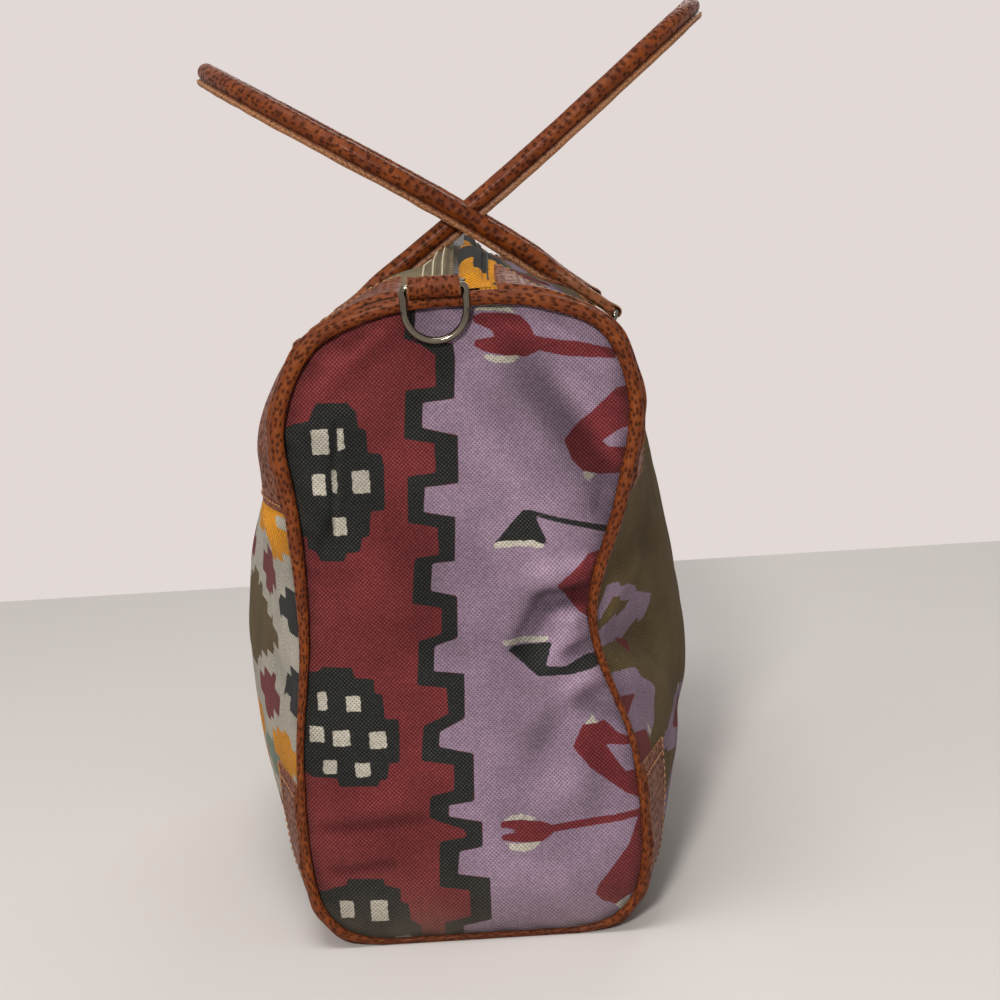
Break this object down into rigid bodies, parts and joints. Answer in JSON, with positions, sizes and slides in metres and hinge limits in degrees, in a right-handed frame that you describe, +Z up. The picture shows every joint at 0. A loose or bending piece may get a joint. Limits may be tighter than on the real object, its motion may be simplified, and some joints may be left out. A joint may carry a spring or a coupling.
{
  "type": "carpet bag",
  "caption": "Soft printed canvas holdall with leather corners and piping, rolled leather handles that lean across its zipped top, and a D-ring on each end.",
  "frame": {"origin": "middle of the base, on the surface that the bag stands on", "axes": "+X towards the back panel, across the bag; +Y along the bag from the end seen in the picture to the other; +Z up"},
  "size_m": [0.2736, 0.4488, 0.4464],
  "materials": {
    "front_canvas": "woven cotton canvas printed in off-white, ochre, maroon, olive and sage",
    "back_canvas": "woven cotton canvas printed in olive, lavender and maroon",
    "end_canvas": "woven cotton canvas printed in maroon, lavender and charcoal",
    "base_canvas": "plain olive cotton canvas, slightly soiled",
    "zip_tape": "stitched khaki canvas and zip tape",
    "leather": "polished cognac leather with dark pits",
    "rope": "twisted cotton rope",
    "nickel": "bright nickel plate",
    "zip_teeth": "moulded dark teeth"
  },
  "bodies": {
    "bag": {"front_panel": "front_canvas", "back_panel": "back_canvas", "base_panel": "base_canvas", "end_panel_near": "end_canvas", "end_panel_far": "end_canvas", "piping_near": "leather", "piping_far": "leather", "zip_tape_front": "zip_tape", "zip_tape_back": "zip_tape", "zip_teeth": "zip_teeth", "zip_stop_near": "nickel", "zip_stop_far": "nickel", "top_patch_front_near": "leather", "top_patch_front_far": "leather", "top_patch_back_near": "leather", "top_patch_back_far": "leather", "base_patch_front_near": "leather", "base_patch_front_far": "leather", "base_patch_back_near": "leather", "base_patch_back_far": "leather", "d_ring_tab_near": "leather", "d_ring_tab_far": "leather", "handle_chape_front_near": "leather", "handle_chape_front_far": "leather", "handle_chape_back_near": "leather", "handle_chape_back_far": "leather"},
    "d_ring_near": {"d_ring_near": "nickel"},
    "d_ring_far": {"d_ring_far": "nickel"},
    "zip_slider": {"zip_slider": "nickel"},
    "zip_pull": {"zip_pull": "nickel"},
    "rings_back": {"handle_ring_back_near": "nickel", "handle_ring_back_far": "nickel"},
    "rings_front": {"handle_ring_front_near": "nickel", "handle_ring_front_far": "nickel"},
    "handle_back": {"handle_back": "leather", "handle_core_back": "rope"},
    "handle_front": {"handle_front": "leather", "handle_core_front": "rope"}
  },
  "joints": [
    {"name": "d_ring_near_swing", "type": "hinge", "parent": "bag", "child": "d_ring_near", "pos_m": [-0.003, -0.21955, 0.309], "axis": [-1, 0, 0], "range_deg": [0, 150]},
    {"name": "d_ring_far_swing", "type": "hinge", "parent": "bag", "child": "d_ring_far", "pos_m": [0.003, 0.21955, 0.309], "axis": [1, 0, 0], "range_deg": [0, 150]},
    {"name": "zip_slider_travel", "type": "hinge", "parent": "bag", "child": "zip_slider", "pos_m": [0.008, 0, -0.7865], "axis": [1, 0, 0], "range_deg": [0, 2.6]},
    {"name": "zip_pull_swing", "type": "hinge", "parent": "zip_slider", "child": "zip_pull", "pos_m": [0.008, 0.17283, 0.31791], "axis": [1, 0, 0], "range_deg": [0, 150]},
    {"name": "rings_back_swing", "type": "hinge", "parent": "bag", "child": "rings_back", "pos_m": [0.0815, 0, 0.2765], "axis": [0, 1, 0], "range_deg": [0, 90]},
    {"name": "handle_back_swing", "type": "hinge", "parent": "rings_back", "child": "handle_back", "pos_m": [0.08492, 0, 0.2859], "axis": [0, 1, 0], "range_deg": [0, 110]},
    {"name": "rings_front_swing", "type": "hinge", "parent": "bag", "child": "rings_front", "pos_m": [-0.0756, 0, 0.278], "axis": [0, -1, 0], "range_deg": [0, 30]},
    {"name": "handle_front_swing", "type": "hinge", "parent": "rings_front", "child": "handle_front", "pos_m": [-0.06751, 0, 0.28388], "axis": [0, -1, 0], "range_deg": [0, 40]}
  ]
}
